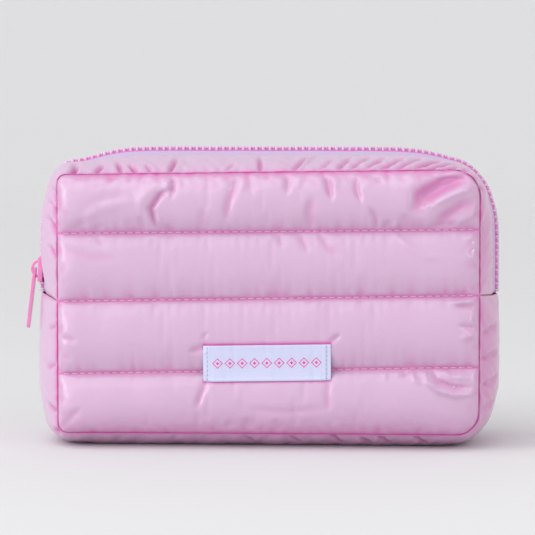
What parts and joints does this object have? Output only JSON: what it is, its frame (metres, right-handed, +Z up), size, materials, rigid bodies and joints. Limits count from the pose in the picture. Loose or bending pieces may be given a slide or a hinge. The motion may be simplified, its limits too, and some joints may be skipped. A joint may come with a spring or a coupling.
{
  "type": "quilted zip pouch",
  "caption": "Boxy puffer-quilted makeup bag with a zip over the top and down both sides, a sewn-in label and a hanging zip pull.",
  "frame": {"origin": "on the ground under the middle of the bag", "axes": "+Z up, +X along the width to the viewer's right, front panel faces -Y"},
  "size_m": [0.2304, 0.0849, 0.1423],
  "materials": {
    "outer_fabric": "glossy coated pink puffer nylon, fine plain weave",
    "wadding": "white polyester wadding",
    "lining": "matt pink polyester taffeta",
    "binding_tape": "ribbed pink binding tape",
    "zip_tape": "lilac-pink woven zip tape",
    "zip_teeth": "moulded pink acetal teeth",
    "slider_enamel": "pink enamelled zinc casting",
    "spring_steel": "spring steel",
    "quilting_thread": "twisted pink polyester thread",
    "label_satin": "white satin-woven label",
    "label_thread": "white polyester thread"
  },
  "bodies": {
    "root": {"back_binding_lower": "binding_tape", "back_lining_lower": "lining", "back_panel_lower": "outer_fabric", "back_quilting_lower": "quilting_thread", "back_wadding_lower": "wadding", "back_zip_tape_left": "zip_tape", "back_zip_tape_right": "zip_tape", "back_zip_teeth_left": "zip_teeth", "back_zip_teeth_right": "zip_teeth", "base_gusset": "outer_fabric", "base_gusset_lining": "lining", "base_gusset_wadding": "wadding", "front_binding_lower": "binding_tape", "front_lining_lower": "lining", "front_panel_lower": "outer_fabric", "front_quilting_lower": "quilting_thread", "front_wadding_lower": "wadding", "front_zip_tape_left": "zip_tape", "front_zip_tape_right": "zip_tape", "front_zip_teeth_left": "zip_teeth", "front_zip_teeth_right": "zip_teeth", "label": "label_satin", "label_stitching": "label_thread"},
    "front_flap": {"front_panel_upper": "outer_fabric", "front_wadding_upper": "wadding", "front_lining_upper": "lining", "front_quilting_upper": "quilting_thread", "front_zip_strip": "outer_fabric", "front_zip_strip_wadding": "wadding", "front_zip_strip_lining": "lining", "front_binding_upper": "binding_tape", "front_zip_tape_top": "zip_tape", "front_zip_teeth_top": "zip_teeth"},
    "back_flap": {"back_panel_upper": "outer_fabric", "back_wadding_upper": "wadding", "back_lining_upper": "lining", "back_quilting_upper": "quilting_thread", "back_zip_strip": "outer_fabric", "back_zip_strip_wadding": "wadding", "back_zip_strip_lining": "lining", "back_binding_upper": "binding_tape", "back_zip_tape_top": "zip_tape", "back_zip_teeth_top": "zip_teeth"},
    "slider": {"slider_body": "slider_enamel", "slider_bridge": "slider_enamel", "slider_lock_spring": "spring_steel"},
    "pull": {"slider_pull": "slider_enamel"}
  },
  "joints": [
    {"name": "front_flap", "type": "hinge", "parent": "root", "child": "front_flap", "pos_m": [0, -0.0369, 0.0715], "axis": [1, 0, 0], "range_deg": [0, 25]},
    {"name": "back_flap", "type": "hinge", "parent": "root", "child": "back_flap", "pos_m": [0, 0.0369, 0.0715], "axis": [-1, 0, 0], "range_deg": [0, 25]},
    {"name": "slider", "type": "slide", "parent": "root", "child": "slider", "axis": [0, 0, 1], "range_m": [-0.003, 0.017], "deforming": ["front_zip_teeth_left", "back_zip_teeth_left"]},
    {"name": "pull", "type": "hinge", "parent": "slider", "child": "pull", "pos_m": [-0.1148, 0, 0.0825], "axis": [0, 1, 0], "range_deg": [-7, 165]}
  ]
}
